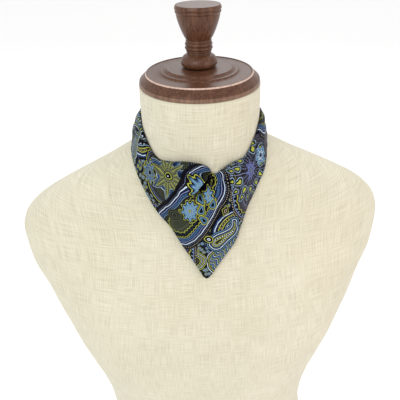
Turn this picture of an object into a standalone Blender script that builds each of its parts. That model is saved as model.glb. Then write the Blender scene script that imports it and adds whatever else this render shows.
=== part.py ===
"""A silk cravat tied round a limbless dress form, at its real size.

Metres, +Z up, the front faces -Y. The origin is the middle of the form's flat base.
The tables are in millimetres and degrees. A drop is measured down from the top of the
neck, and an angle is measured round the neck from its front, towards +X.
"""

import math

import bpy
import numpy as np

MM = 0.001

# Driving dimensions
NECK_TOP = 0.700          # base to the top of the neck, under the cap
NECK_RADIUS = 0.0625      # a neck of 39 cm
CLOTH = 0.0012            # the silk and its interlining, pressed together
SEAM = 0.0003             # between two pieces that meet
SLANT = 1.3               # the seams run aslant, so their pieces part further round the neck
CLEAR = 0.0008            # between the cloth and the form
LAYER = 0.0026            # one layer of cloth and the room under the next
LIP = 0.010               # how far the turned-over cloth reaches down behind its top edge
INNER = (NECK_RADIUS + CLEAR + CLOTH / 2) / MM      # middle of a layer on the neck, in millimetres

# Where the pieces end, in degrees round the neck
LEFT_SEAM, RIGHT_SEAM = -76.0, 69.0        # where the neckband is sewn to the blades
LEFT_NAPE, RIGHT_NAPE = -142.0, 142.0      # where the side stretches meet at the back
STRETCHES = (
    ("stretch_right", RIGHT_SEAM, RIGHT_NAPE),
    ("nape", RIGHT_NAPE, 360 + LEFT_NAPE),
    ("stretch_left", 360 + LEFT_NAPE, 360 + LEFT_SEAM),
)
UNDER_BLADE_ENDS = -40.0, 36.0
UNDER_BLADE_REACH = 0.46, 0.94             # shares of the way down the fall

# How the cloth is shaped
TURN_SHARE = 0.55         # share of the rows behind the top edge that go round the turn
PUFF_RISE = 0.62          # below 1, a line of cloth stands out most above its middle
FOLD_TOP = 1 / 12         # share of the way down over which the folds rise below the turn
PLEATS = 3                # long pleats of the neckband, one above the other
PLEAT_DEPTH = 1.3         # millimetres
PLEAT_EDGE = 1 / 4        # share of the band's height over which the pleats rise from an edge
PLEAT_REACH = 8.0         # how far past a seam the last of the pleats is seen, in degrees
PLEAT_FADE = 30.0         # over how many degrees the pleats open out
ROOM_ABOVE = 0.2          # share of a layer kept free under the fall above the under blade
ROOM_FROM, ROOM_RISE = 0.2, 1 / 8          # where that room starts to grow, and over what share

# How finely the pieces are divided
FORM_SEGMENTS = 40
CAP_SEGMENTS = 36
FINIAL_SEGMENTS = 24
ROWS_FRONT, ROWS_BEHIND = 16, 6
ROW_CROWDING = 1.15       # above 1, the rows lie closer together near the top edge
FALL_LINES = (LEFT_SEAM, -16.0, 15), (-13.5, 19.0, 19), (22.0, RIGHT_SEAM, 13)
STRETCH_LINES = 12
UNDER_BLADE_LINES, UNDER_BLADE_ROWS = 21, 9
PATH_STEPS = 25           # points along the path of a fold


def table(columns, *rows):
    """One array for each named column."""
    values = np.array(rows, float)
    return {name: values[:, i] for i, name in enumerate(columns.split())}


# Horizontal sections of the form, from the top of the neck down to the base.
FORM = table(
    "drop half_width front back squareness",
    (0, 61.7, 61.7, 61.7, 2.00),
    (24, 62.4, 62.4, 62.4, 2.00),
    (45, 62.5, 62.5, 62.5, 2.00),
    (56, 64.0, 62.5, 65.5, 2.00),
    (62, 68.0, 62.8, 69.0, 1.95),
    (70, 80.0, 64.0, 75.0, 1.85),
    (80, 100.0, 67.0, 82.0, 1.75),
    (90, 121.0, 70.0, 88.0, 1.65),
    (100, 143.0, 73.5, 93.5, 1.62),
    (115, 172.0, 79.5, 100.5, 1.68),
    (130, 196.0, 86.0, 107.0, 1.78),
    (145, 209.0, 92.5, 112.5, 1.88),
    (160, 213.5, 99.0, 118.0, 1.96),
    (190, 211.0, 110.0, 124.5, 2.08),
    (220, 200.0, 119.0, 127.0, 2.20),
    (260, 187.0, 125.5, 124.0, 2.40),
    (300, 178.0, 127.0, 119.0, 2.40),
    (350, 168.0, 123.0, 110.0, 2.30),
    (400, 158.0, 117.0, 102.0, 2.20),
    (450, 151.0, 112.0, 97.0, 2.20),
    (500, 149.0, 110.0, 97.0, 2.20),
    (550, 155.0, 111.0, 104.0, 2.20),
    (600, 165.0, 112.0, 114.0, 2.20),
    (650, 173.0, 110.0, 121.0, 2.20),
    (700, 176.0, 107.0, 123.0, 2.20),
)

# Turned profiles, from the middle of the underside outwards and up to the axis again.
CAP = table(
    "radius height",
    (0.0, 0.3), (61.0, 0.3), (61.6, 0.9), (61.6, 2.1), (61.0, 2.8), (61.0, 5.0), (60.5, 5.9),
    (54.4, 11.2), (54.0, 12.2), (53.2, 12.6), (52.5, 12.1), (52.0, 11.5), (44.0, 12.0),
    (40.6, 12.6), (39.4, 13.7), (38.4, 14.2), (37.4, 14.1), (36.4, 14.4), (34.6, 15.4),
    (33.6, 16.2), (32.6, 16.5), (31.6, 16.1), (28.0, 16.3), (0.0, 16.3),
)
FINIAL = table(
    "radius height",
    (0.0, 16.6), (12.8, 16.6), (15.4, 17.0), (17.4, 18.4), (18.2, 20.4), (18.2, 22.4),
    (17.3, 25.0), (15.4, 27.3), (12.9, 28.7), (11.6, 29.3), (12.3, 30.0), (12.3, 30.8),
    (11.7, 31.4), (12.6, 32.1), (12.8, 32.8), (12.2, 33.5), (13.5, 34.3), (13.8, 35.3),
    (13.4, 36.2), (12.3, 36.9), (13.3, 37.7), (13.6, 38.9), (13.1, 40.0), (12.2, 40.6),
    (12.8, 41.3), (12.7, 42.2), (12.2, 42.8), (12.9, 43.8), (14.5, 46.6), (16.1, 49.9),
    (18.3, 55.5), (20.1, 61.2), (21.0, 65.4), (21.1, 66.8), (21.9, 67.5), (22.1, 68.8),
    (21.3, 69.7), (22.3, 70.6), (22.4, 71.4), (21.6, 73.7), (21.1, 74.2), (0.0, 74.2),
)

# The fall: the front blade where it turns over in front and spreads to the sides.
# Each row is one line down the cloth, from the turned top edge to the low edge.
FALL = table(
    "angle front_radius ridge_drop low_x low_y low_drop puff",
    (-76.0, 65.9, 40.5, -76.2, -4.0, 65.5, 1.6),
    (-68.0, 66.2, 45.5, -74.8, -20.5, 67.5, 2.2),
    (-60.0, 67.0, 51.5, -72.0, -35.5, 71.5, 3.0),
    (-52.0, 68.6, 57.5, -68.2, -47.5, 78.5, 3.5),
    (-43.0, 70.8, 60.6, -61.5, -58.8, 91.0, 5.0),
    (-30.0, 73.5, 58.6, -51.0, -71.8, 107.0, 7.5),
    (-17.0, 75.0, 56.2, -38.0, -82.0, 121.0, 9.5),
    (-8.0, 74.5, 57.2, -27.4, -91.4, 138.0, 9.5),
    (-1.5, 72.5, 60.0, -16.6, -99.6, 154.5, 8.0),
    (2.5, 69.8, 64.6, -5.2, -107.0, 171.0, 8.0),
    (5.2, 68.0, 70.8, 0.6, -105.2, 167.0, 8.8),
    (8.6, 68.6, 71.2, 6.8, -102.4, 158.5, 9.2),
    (13.5, 71.4, 67.4, 15.4, -97.8, 148.5, 9.2),
    (20.0, 74.5, 62.8, 26.5, -91.2, 135.8, 9.5),
    (27.0, 74.0, 61.0, 32.5, -84.3, 123.0, 8.5),
    (35.0, 72.0, 61.0, 40.0, -75.6, 107.8, 7.0),
    (43.0, 69.3, 57.0, 49.0, -66.6, 94.6, 5.0),
    (52.0, 67.2, 50.0, 56.5, -58.0, 83.6, 3.2),
    (60.0, 66.2, 43.0, 62.0, -48.5, 75.5, 2.0),
    (69.0, 65.6, 35.0, 66.8, -29.0, 64.0, 1.0),
)

# The neckband between the two seams, round the back of the neck.
BAND = table(
    "angle front_radius ridge_drop low_angle low_radius low_drop puff",
    (69.0, 65.6, 35.0, 66.5, 72.8, 64.0, 1.0),
    (77.0, 65.6, 33.5, 75.5, 72.0, 63.5, 0.8),
    (85.0, 65.6, 32.8, 84.5, 71.4, 63.5, 0.8),
    (95.0, 65.6, 32.8, 95.0, 71.6, 63.8, 1.0),
    (110.0, 65.8, 33.8, 110.0, 72.6, 64.0, 1.4),
    (125.0, 66.0, 34.2, 125.0, 74.2, 64.5, 1.8),
    (142.0, 66.2, 33.0, 142.0, 75.6, 64.0, 2.0),
    (160.0, 66.4, 31.0, 160.0, 76.2, 63.0, 2.0),
    (180.0, 66.4, 30.0, 180.0, 76.2, 62.5, 2.0),
    (200.0, 66.4, 30.2, 200.0, 76.4, 62.5, 2.0),
    (218.0, 66.4, 31.0, 218.0, 76.6, 63.0, 2.0),
    (235.0, 66.2, 31.6, 235.0, 76.8, 63.5, 1.8),
    (250.0, 66.0, 31.2, 250.0, 76.8, 64.0, 1.6),
    (260.0, 65.8, 31.4, 259.5, 76.6, 64.5, 1.4),
    (268.0, 65.7, 32.4, 264.5, 76.4, 65.0, 1.3),
    (276.0, 65.7, 35.6, 269.0, 76.3, 65.3, 1.4),
    (284.0, 65.9, 40.5, 273.0, 76.3, 65.5, 1.6),
)

# Soft folds of the fall. A path runs from its start past its bend to its end, each given
# as an angle and a share of the way down. A depth below zero is a trough, and a lean moves
# the crest sideways, towards +X, so that it hangs over its neighbour. The last two columns
# say over what share of the path the fold rises at its start and dies at its end.
FOLDS = table(
    "depth lean half_width start_angle start_down bend_angle bend_down end_angle end_down rise fall",
    (-12.5, 0.0, 2.8, 4.6, 0.00, -9.5, 0.16, 1.5, 0.29, 0.02, 0.35),
    (3.5, 3.5, 4.2, -1.0, 0.02, -14.5, 0.15, -5.0, 0.30, 0.30, 0.45),
    (3.5, 0.0, 6.0, 9.0, 0.03, 5.0, 0.10, 4.5, 0.26, 0.20, 0.60),
    (-2.8, 0.0, 2.8, 13.5, 0.00, 13.0, 0.06, 13.8, 0.16, 0.10, 0.70),
    (-2.5, 0.0, 4.0, 4.5, 0.64, 1.5, 0.85, 2.0, 1.00, 0.50, 0.02),
    (-2.0, 0.0, 6.0, -60.0, 0.30, -36.0, 0.45, -20.0, 0.85, 0.30, 0.50),
    (-2.0, 0.0, 6.0, 58.0, 0.25, 38.0, 0.45, 26.0, 0.85, 0.30, 0.50),
)


def smooth(rows, column, at):
    """The named column as a curve through its rows, which never overshoots them."""
    x, y = rows[next(iter(rows))], rows[column]
    at = np.clip(np.asarray(at, float), x[0], x[-1])
    step, rise = np.diff(x), np.diff(y)
    slope = rise / step
    tangent = np.concatenate([slope[:1], np.zeros(len(x) - 2), slope[-1:]])
    before, after = slope[:-1], slope[1:]
    turning = before * after > 0
    mean = before[turning] * after[turning] * 2 / (before[turning] + after[turning])
    tangent[1:-1][turning] = mean
    i = np.clip(np.searchsorted(x, at, side="right") - 1, 0, len(x) - 2)
    t = (at - x[i]) / step[i]
    return (
        y[i] * (1 + 2 * t) * (1 - t) ** 2
        + y[i + 1] * t * t * (3 - 2 * t)
        + step[i] * t * (1 - t) * (tangent[i] * (1 - t) - tangent[i + 1] * t)
    )


def ease(share):
    """0 to 1, flat at both ends."""
    share = np.clip(share, 0, 1)
    return share * share * (3 - 2 * share)


def form_radius(angle, drop):
    """How far the form's skin stands from the neck's axis, in millimetres."""
    sideways = np.abs(np.sin(np.radians(angle)))
    along = np.cos(np.radians(angle))
    power = smooth(FORM, "squareness", drop)
    depth = np.where(along > 0, smooth(FORM, "front", drop), smooth(FORM, "back", drop))
    width = smooth(FORM, "half_width", drop)
    return ((sideways / width) ** power + (np.abs(along) / depth) ** power) ** (-1 / power)


def place(angle, radius, drop):
    """Millimetres round the neck to metres in the part's frame."""
    turn = np.radians(angle)
    return np.stack(
        [radius * np.sin(turn), -radius * np.cos(turn), NECK_TOP / MM - drop], axis=-1
    ) * MM


def clear_of_form(angle, radius, drop, under=0.0):
    """The radius, pushed out where the form or a layer beneath needs the room."""
    return np.maximum(radius, form_radius(angle, drop) + INNER - NECK_RADIUS / MM + under)


def turned_top(front_radius, ridge_drop, down):
    """Radius and drop of the turned-over top edge, where down runs from -1 to 0."""
    roll = (front_radius - INNER) / 2
    around = np.clip(down / TURN_SHARE, -1, 0) * math.pi
    behind = np.clip((-down - TURN_SHARE) / (1 - TURN_SHARE), 0, 1) * LIP / MM
    radius = INNER + roll + roll * np.cos(around)
    drop = ridge_drop + roll * (1 - np.sin(-around)) + behind
    return radius, drop


def pleats(angle, down):
    """The neckband's long pleats, which open out past the seams, in millimetres."""
    turn = (angle + 180) % 360 - 180
    past = np.where(turn < 0, turn - LEFT_SEAM, RIGHT_SEAM - turn)
    share = ease((PLEAT_REACH - past) / PLEAT_FADE)
    wave = np.sin(down * PLEATS * math.pi) ** 2
    return PLEAT_DEPTH * share * wave * ease(down / PLEAT_EDGE) * ease((1 - down) / PLEAT_EDGE)


def hang(top_angle, front_radius, ridge_drop, low_x, low_y, low_drop, puff, down):
    """Angle, radius and drop along a line of cloth from its top edge to its low edge."""
    roll = (front_radius - INNER) / 2
    top = place(top_angle, front_radius, ridge_drop + roll)
    low = np.stack([low_x, low_y, NECK_TOP / MM - low_drop], axis=-1) * MM
    x, y, z = np.moveaxis((top + (low - top) * down[..., None]) / MM, -1, 0)
    radius = np.hypot(x, y) + puff * np.sin(math.pi * down**PUFF_RISE)
    return np.degrees(np.arctan2(x, -y)), radius, NECK_TOP / MM - z


def turn_over(angle, front_radius, ridge_drop, down, hanging):
    """Points of a piece whose cloth is turned over at the top and hangs in front."""
    behind_radius, behind_drop = turned_top(front_radius, ridge_drop, np.minimum(down, 0))
    behind = place(angle, clear_of_form(angle, behind_radius, behind_drop), behind_drop)
    return np.where((down < 0)[..., None], behind, hanging)


def fall_base(angle, down):
    """The fall before its folds, in front of the top edge."""
    columns = [smooth(FALL, name, angle) for name in list(FALL)[1:]]
    return hang(angle, *columns, down)


def fold_relief(points):
    """How far the folds move each point of the fall outwards and sideways, in millimetres."""
    outwards, sideways = np.zeros(points.shape[:-1]), np.zeros(points.shape[:-1])
    along = np.linspace(0, 1, PATH_STEPS)
    ways = (1 - along) ** 2, 2 * along * (1 - along), along**2
    for i in range(len(FOLDS["depth"])):
        fold = {name: values[i] for name, values in FOLDS.items()}
        angle, down = (
            ways[0] * fold["start_" + name] + ways[1] * fold["bend_" + name] + ways[2] * fold["end_" + name]
            for name in ("angle", "down")
        )
        path = place(*fall_base(angle, down))
        away = np.linalg.norm(points[..., None, :] - path, axis=-1) / MM
        t = along[away.argmin(axis=-1)]
        strength = ease(t / fold["rise"]) * ease((1 - t) / fold["fall"])
        bump = strength * ease(1 - away.min(axis=-1) / (2 * fold["half_width"]))
        outwards += fold["depth"] * bump
        sideways += fold["lean"] * bump
    return outwards, sideways


def fall_points(angle, down):
    """Points of the fall's middle surface. Down runs from -1, behind, past 0, the top, to 1."""
    front = np.maximum(down, 0)
    at_angle, radius, drop = fall_base(angle, front)
    outwards, sideways = fold_relief(place(at_angle, radius, drop))
    below_turn = ease(front / FOLD_TOP)
    at_angle = at_angle + np.degrees(sideways * below_turn / radius)
    radius = radius + outwards * below_turn + pleats(angle, front)
    room = LAYER / MM * (ROOM_ABOVE + (1 - ROOM_ABOVE) * ease((front - ROOM_FROM) / ROOM_RISE))
    hanging = place(at_angle, clear_of_form(at_angle, radius, drop, room), drop)
    edge = smooth(FALL, "front_radius", angle), smooth(FALL, "ridge_drop", angle)
    return turn_over(angle, *edge, down, hanging)


def under_blade_points(angle, down):
    """Points of the under blade, which lies on the form behind the fall."""
    at_angle, _, drop = fall_base(angle, down)
    return place(at_angle, clear_of_form(at_angle, np.zeros_like(drop), drop), drop)


def band_points(angle, down):
    """Points of the neckband's middle surface, with down as in fall_points."""
    front = np.maximum(down, 0)
    edge = smooth(BAND, "front_radius", angle), smooth(BAND, "ridge_drop", angle)
    low_turn = np.radians(smooth(BAND, "low_angle", angle))
    low_radius = smooth(BAND, "low_radius", angle)
    low = low_radius * np.sin(low_turn), -low_radius * np.cos(low_turn), smooth(BAND, "low_drop", angle)
    at_angle, radius, drop = hang(angle, *edge, *low, smooth(BAND, "puff", angle), front)
    radius = radius + pleats(angle, front)
    hanging = place(at_angle, clear_of_form(at_angle, radius, drop), drop)
    return turn_over(angle, *edge, down, hanging)


def down_rows():
    """Rows from behind the top edge to the low edge."""
    behind = -np.linspace(1, 0, ROWS_BEHIND, endpoint=False)
    return np.concatenate([behind, np.linspace(0, 1, ROWS_FRONT) ** ROW_CROWDING])


# Blender objects ----------------------------------------------------------------------


def material(name, color, roughness):
    made = bpy.data.materials.new(name)
    made.use_nodes = True
    shader = made.node_tree.nodes["Principled BSDF"]
    shader.inputs["Base Color"].default_value = (*color, 1)
    shader.inputs["Roughness"].default_value = roughness
    return made


def add_object(name, vertices, faces, finish):
    mesh = bpy.data.meshes.new(name)
    mesh.from_pydata([tuple(v) for v in vertices], [], faces)
    mesh.materials.append(finish)
    mesh.shade_smooth()
    made = bpy.data.objects.new(name, mesh)
    bpy.context.scene.collection.objects.link(made)
    return made


def grid_faces(rows, columns, round_trip=False):
    last = columns if round_trip else columns - 1
    return [
        (
            r * columns + c,
            r * columns + (c + 1) % columns,
            (r + 1) * columns + (c + 1) % columns,
            (r + 1) * columns + c,
        )
        for r in range(rows - 1)
        for c in range(last)
    ]


def cloth_piece(name, points_of, angles, rows, finish):
    """A wall of cloth over a grid of angles and rows."""
    angle, down = np.meshgrid(angles, rows)
    points = points_of(angle, down)
    made = add_object(name, points.reshape(-1, 3), grid_faces(*angle.shape), finish)
    wall = made.modifiers.new("Wall", "SOLIDIFY")
    wall.thickness = CLOTH
    wall.offset = 0
    return made


def build_form(finish):
    angles = np.arange(FORM_SEGMENTS) * 360 / FORM_SEGMENTS
    angle, drop = np.meshgrid(angles, FORM["drop"][::-1])
    points = place(angle, form_radius(angle, drop), drop).reshape(-1, 3)
    rings = len(drop)
    faces = grid_faces(rings, FORM_SEGMENTS, round_trip=True)
    faces.append(tuple(reversed(range(FORM_SEGMENTS))))
    faces.append(tuple((rings - 1) * FORM_SEGMENTS + i for i in range(FORM_SEGMENTS)))
    return add_object("form_body", points, faces, finish)


def build_turned(name, profile, segments, finish):
    """A turned piece on the neck's axis, from a profile of radii and heights."""
    radii, heights = profile["radius"][1:-1] * MM, NECK_TOP + profile["height"] * MM
    turn = np.arange(segments) * 2 * math.pi / segments
    points = [(0, 0, heights[0])]
    for radius, height in zip(radii, heights[1:-1]):
        points += [(radius * math.cos(t), radius * math.sin(t), height) for t in turn]
    points.append((0, 0, heights[-1]))
    rings = len(radii)
    faces = [tuple(1 + i for i in face) for face in grid_faces(rings, segments, round_trip=True)]
    last = 1 + (rings - 1) * segments
    for i in range(segments):
        after = (i + 1) % segments
        faces.append((0, 1 + after, 1 + i))
        faces.append((len(points) - 1, last + i, last + after))
    return add_object(name, points, faces, finish)


def main():
    for old in list(bpy.data.objects):
        bpy.data.objects.remove(old, do_unlink=True)
    linen = material("linen", (0.75, 0.68, 0.52), 0.8)
    wood = material("wood", (0.10, 0.035, 0.02), 0.35)
    silk = material("silk", (0.03, 0.05, 0.12), 0.35)
    build_form(linen)
    build_turned("cap", CAP, CAP_SEGMENTS, wood)
    build_turned("finial", FINIAL, FINIAL_SEGMENTS, wood)
    half_seam = math.degrees(SEAM * SLANT / 2 / (INNER * MM))
    rows = down_rows()
    fall_angles = np.concatenate([np.linspace(*lines) for lines in FALL_LINES])
    fall_angles[0] += half_seam
    fall_angles[-1] -= half_seam
    cloth_piece("fall", fall_points, fall_angles, rows, silk)
    under_angles = np.linspace(*UNDER_BLADE_ENDS, UNDER_BLADE_LINES)
    under_rows = np.linspace(*UNDER_BLADE_REACH, UNDER_BLADE_ROWS)
    cloth_piece("under_blade", under_blade_points, under_angles, under_rows, silk)
    for name, start, end in STRETCHES:
        angles = np.linspace(start + half_seam, end - half_seam, STRETCH_LINES)
        cloth_piece(name, band_points, angles, rows, silk)


main()
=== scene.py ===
"""The silk cravat on its dress form: fine cloth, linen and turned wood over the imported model.

Tables are in millimetres and degrees. A drop is measured down from the top of the neck,
and an angle is measured round the neck from its front, towards +X.
"""

import math

import bpy
import numpy as np
from mathutils import Matrix, Vector


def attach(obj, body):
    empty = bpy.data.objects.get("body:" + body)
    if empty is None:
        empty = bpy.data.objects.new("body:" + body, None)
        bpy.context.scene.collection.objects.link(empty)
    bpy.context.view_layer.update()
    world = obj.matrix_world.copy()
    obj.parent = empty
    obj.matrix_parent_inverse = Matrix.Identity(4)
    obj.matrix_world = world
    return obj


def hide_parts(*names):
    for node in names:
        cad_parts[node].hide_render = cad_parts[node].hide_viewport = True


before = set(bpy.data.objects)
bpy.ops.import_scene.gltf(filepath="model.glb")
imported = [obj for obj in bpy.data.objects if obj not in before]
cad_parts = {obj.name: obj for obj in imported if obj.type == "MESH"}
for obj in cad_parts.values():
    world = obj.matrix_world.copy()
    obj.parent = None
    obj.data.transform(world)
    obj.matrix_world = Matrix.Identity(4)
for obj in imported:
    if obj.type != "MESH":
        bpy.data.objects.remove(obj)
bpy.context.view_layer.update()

MM = 0.001

# Sizes and tables after those of the part's source. The dimple and its lip are deeper here.
NECK_TOP = 0.700
NECK_RADIUS = 0.0625
CLOTH = 0.0012
SEAM = 0.0003
SLANT = 1.3
CLEAR = 0.0008
LAYER = 0.0026
LIP = 0.010
INNER = (NECK_RADIUS + CLEAR + CLOTH / 2) / MM
LEFT_SEAM, RIGHT_SEAM = -76.0, 69.0
LEFT_NAPE, RIGHT_NAPE = -142.0, 142.0
UNDER_BLADE_ENDS = -40.0, 36.0
UNDER_BLADE_REACH = 0.46, 0.94
TURN_SHARE = 0.55
PUFF_RISE = 0.62
PUFF_START = 0.09         # the share of the way down over which the puff sets in
EVENED = 3.2              # degrees to each side over which the fall's columns are evened out
EVENED_BY = 0.35          # share of the way in from the top and the low edge where this is full
EVENED_NEAR = 10.0        # degrees from a seam where this is at half
FOLD_TOP = 1 / 18
ROOM_ABOVE = 0.2
ROOM_FROM, ROOM_RISE = 0.2, 1 / 8
FOLD_NEAR = 0.12          # metres from a fold's middle within which it can reach


def table(columns, *rows):
    """One array for each named column."""
    values = np.array(rows, float)
    return {name: values[:, i] for i, name in enumerate(columns.split())}


FORM = table(
    "drop half_width front back squareness",
    (0, 61.7, 61.7, 61.7, 2.00),
    (24, 62.4, 62.4, 62.4, 2.00),
    (45, 62.5, 62.5, 62.5, 2.00),
    (56, 64.0, 62.5, 65.5, 2.00),
    (62, 68.0, 62.8, 69.0, 1.95),
    (70, 80.0, 64.0, 75.0, 1.85),
    (80, 100.0, 67.0, 82.0, 1.75),
    (90, 121.0, 70.0, 88.0, 1.65),
    (100, 143.0, 73.5, 93.5, 1.62),
    (115, 172.0, 79.5, 100.5, 1.68),
    (130, 196.0, 86.0, 107.0, 1.78),
    (145, 209.0, 92.5, 112.5, 1.88),
    (160, 213.5, 99.0, 118.0, 1.96),
    (190, 211.0, 110.0, 124.5, 2.08),
    (220, 200.0, 119.0, 127.0, 2.20),
    (260, 187.0, 125.5, 124.0, 2.40),
    (300, 178.0, 127.0, 119.0, 2.40),
    (350, 168.0, 123.0, 110.0, 2.30),
    (400, 158.0, 117.0, 102.0, 2.20),
    (450, 151.0, 112.0, 97.0, 2.20),
    (500, 149.0, 110.0, 97.0, 2.20),
    (550, 155.0, 111.0, 104.0, 2.20),
    (600, 165.0, 112.0, 114.0, 2.20),
    (650, 173.0, 110.0, 121.0, 2.20),
    (700, 176.0, 107.0, 123.0, 2.20),
)
CAP = table(
    "radius height",
    (0.0, 0.3), (61.0, 0.3), (61.6, 0.9), (61.6, 2.1), (61.0, 2.8), (61.0, 5.0), (60.5, 5.9),
    (54.4, 11.2), (54.0, 12.2), (53.2, 12.6), (52.5, 12.1), (52.0, 11.5), (44.0, 12.0),
    (40.6, 12.6), (39.4, 13.7), (38.4, 14.2), (37.4, 14.1), (36.4, 14.4), (34.6, 15.4),
    (33.6, 16.2), (32.6, 16.5), (31.6, 16.1), (28.0, 16.3), (0.0, 16.3),
)
FINIAL = table(
    "radius height",
    (0.0, 16.6), (12.8, 16.6), (15.4, 17.0), (17.4, 18.4), (18.2, 20.4), (18.2, 22.4),
    (17.3, 25.0), (15.4, 27.3), (12.9, 28.7), (11.6, 29.3), (12.3, 30.0), (12.3, 30.8),
    (11.7, 31.4), (12.6, 32.1), (12.8, 32.8), (12.2, 33.5), (13.5, 34.3), (13.8, 35.3),
    (13.4, 36.2), (12.3, 36.9), (13.3, 37.7), (13.6, 38.9), (13.1, 40.0), (12.2, 40.6),
    (12.8, 41.3), (12.7, 42.2), (12.2, 42.8), (12.9, 43.8), (14.5, 46.6), (16.1, 49.9),
    (18.3, 55.5), (20.1, 61.2), (21.0, 65.4), (21.1, 66.8), (21.9, 67.5), (22.1, 68.8),
    (21.3, 69.7), (22.3, 70.6), (22.4, 71.4), (21.6, 73.7), (21.1, 74.2), (0.0, 74.2),
)
FALL = table(
    "angle front_radius ridge_drop low_x low_y low_drop puff",
    (-76.0, 65.9, 40.5, -76.2, -4.0, 65.5, 1.6),
    (-68.0, 66.2, 45.5, -74.8, -20.5, 67.5, 2.2),
    (-60.0, 67.0, 51.5, -72.0, -35.5, 71.5, 3.0),
    (-52.0, 68.6, 57.5, -68.2, -47.5, 78.5, 3.5),
    (-43.0, 70.8, 60.6, -61.5, -58.8, 91.0, 5.0),
    (-30.0, 73.5, 58.6, -51.0, -71.8, 107.0, 7.5),
    (-17.0, 75.0, 56.2, -38.0, -82.0, 121.0, 9.5),
    (-8.0, 74.5, 57.2, -27.4, -91.4, 138.0, 9.5),
    (-1.5, 72.5, 60.0, -16.6, -99.6, 154.5, 8.0),
    (2.5, 69.8, 64.6, -5.2, -107.0, 171.0, 8.0),
    (5.2, 68.0, 70.8, 0.6, -105.2, 167.0, 8.8),
    (8.6, 68.6, 71.2, 6.8, -102.4, 158.5, 9.2),
    (13.5, 71.4, 67.4, 15.4, -97.8, 148.5, 9.2),
    (20.0, 74.5, 62.8, 26.5, -91.2, 135.8, 9.5),
    (27.0, 74.0, 61.0, 32.5, -84.3, 123.0, 8.5),
    (35.0, 72.0, 61.0, 40.0, -75.6, 107.8, 7.0),
    (43.0, 69.3, 57.0, 49.0, -66.6, 94.6, 5.0),
    (52.0, 67.2, 50.0, 56.5, -58.0, 83.6, 3.2),
    (60.0, 66.2, 43.0, 62.0, -48.5, 75.5, 2.0),
    (69.0, 65.6, 35.0, 66.8, -29.0, 64.0, 1.0),
)
BAND = table(
    "angle front_radius ridge_drop low_angle low_radius low_drop puff",
    (69.0, 65.6, 35.0, 66.5, 72.8, 64.0, 1.0),
    (77.0, 65.6, 33.5, 75.5, 72.0, 63.5, 0.8),
    (85.0, 65.6, 32.8, 84.5, 71.4, 63.5, 0.8),
    (95.0, 65.6, 32.8, 95.0, 71.6, 63.8, 1.0),
    (110.0, 65.8, 33.8, 110.0, 72.6, 64.0, 1.4),
    (125.0, 66.0, 34.2, 125.0, 74.2, 64.5, 1.8),
    (142.0, 66.2, 33.0, 142.0, 75.6, 64.0, 2.0),
    (160.0, 66.4, 31.0, 160.0, 76.2, 63.0, 2.0),
    (180.0, 66.4, 30.0, 180.0, 76.2, 62.5, 2.0),
    (200.0, 66.4, 30.2, 200.0, 76.4, 62.5, 2.0),
    (218.0, 66.4, 31.0, 218.0, 76.6, 63.0, 2.0),
    (235.0, 66.2, 31.6, 235.0, 76.8, 63.5, 1.8),
    (250.0, 66.0, 31.2, 250.0, 76.8, 64.0, 1.6),
    (260.0, 65.8, 31.4, 259.5, 76.6, 64.5, 1.4),
    (268.0, 65.7, 32.4, 264.5, 76.4, 65.0, 1.3),
    (276.0, 65.7, 35.6, 269.0, 76.3, 65.3, 1.4),
    (284.0, 65.9, 40.5, 273.0, 76.3, 65.5, 1.6),
)

# Folds of the fall. A path runs from its start past its bend to its end, each given as an
# angle and a share of the way down. A depth below zero is a trough, and a lean moves the
# crest sideways, towards +X, so that it hangs over its neighbour. The last two columns say
# over what share of the path the fold rises at its start and dies at its end.
FOLDS = table(
    "depth lean half_width start_angle start_down bend_angle bend_down end_angle end_down rise fall",
    (-17.0, 0.0, 3.6, 6.0, 0.00, -13.0, 0.14, 0.5, 0.29, 0.02, 0.40),
    (4.5, 8.0, 4.2, 0.0, 0.01, -17.5, 0.13, -7.0, 0.30, 0.20, 0.45),
    (4.0, -4.5, 5.0, 9.0, 0.04, 3.0, 0.12, 4.5, 0.28, 0.20, 0.60),
    (-2.8, 0.0, 2.8, 13.5, 0.00, 13.0, 0.06, 13.8, 0.16, 0.10, 0.70),
    (-2.5, 0.0, 4.0, 4.5, 0.64, 1.5, 0.85, 2.0, 1.00, 0.50, 0.02),
    (-2.0, 0.0, 6.0, -60.0, 0.30, -36.0, 0.45, -20.0, 0.85, 0.30, 0.50),
    (-2.0, 0.0, 6.0, 58.0, 0.25, 38.0, 0.45, 26.0, 0.85, 0.30, 0.50),
    # Finer creases, which only these pieces have
    (-0.9, 0.0, 1.6, -70.0, 0.35, -52.0, 0.25, -34.0, 0.35, 0.40, 0.60),
    (-0.8, 0.0, 1.5, -66.0, 0.62, -50.0, 0.55, -34.0, 0.66, 0.40, 0.60),
    (-0.9, 0.0, 1.5, 66.0, 0.30, 54.0, 0.34, 40.0, 0.52, 0.30, 0.60),
    (-1.0, 0.0, 1.6, 67.0, 0.60, 56.0, 0.62, 44.0, 0.80, 0.30, 0.60),
    (-0.9, 0.0, 1.4, -9.0, 0.32, -12.0, 0.45, -16.0, 0.62, 0.50, 0.60),
    (-0.8, 0.0, 1.4, 6.0, 0.28, 7.0, 0.42, 9.0, 0.56, 0.50, 0.60),
    (-1.1, 0.0, 1.5, 20.0, 0.02, 18.5, 0.12, 18.0, 0.30, 0.30, 0.70),
    (-0.8, 0.0, 1.3, -18.0, 0.02, -21.0, 0.12, -26.0, 0.24, 0.40, 0.70),
)
PATH_STEPS = 80

PLEATS = 3                # long pleats of the neckband, one above the other
PLEAT_DEPTH = 1.3
PLEAT_EDGE = 1 / 4
PLEAT_REACH = 8.0
PLEAT_FADE = 30.0
PLEAT_CREASE = 0.75       # depth of the sharp line where one pleat tucks under the next
CREASE_WIDTH = 0.22       # of that line, as a share of the pleat's height

DROP_STRETCH = 1.05       # the cloth slopes, so it is longer than its drop

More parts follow.
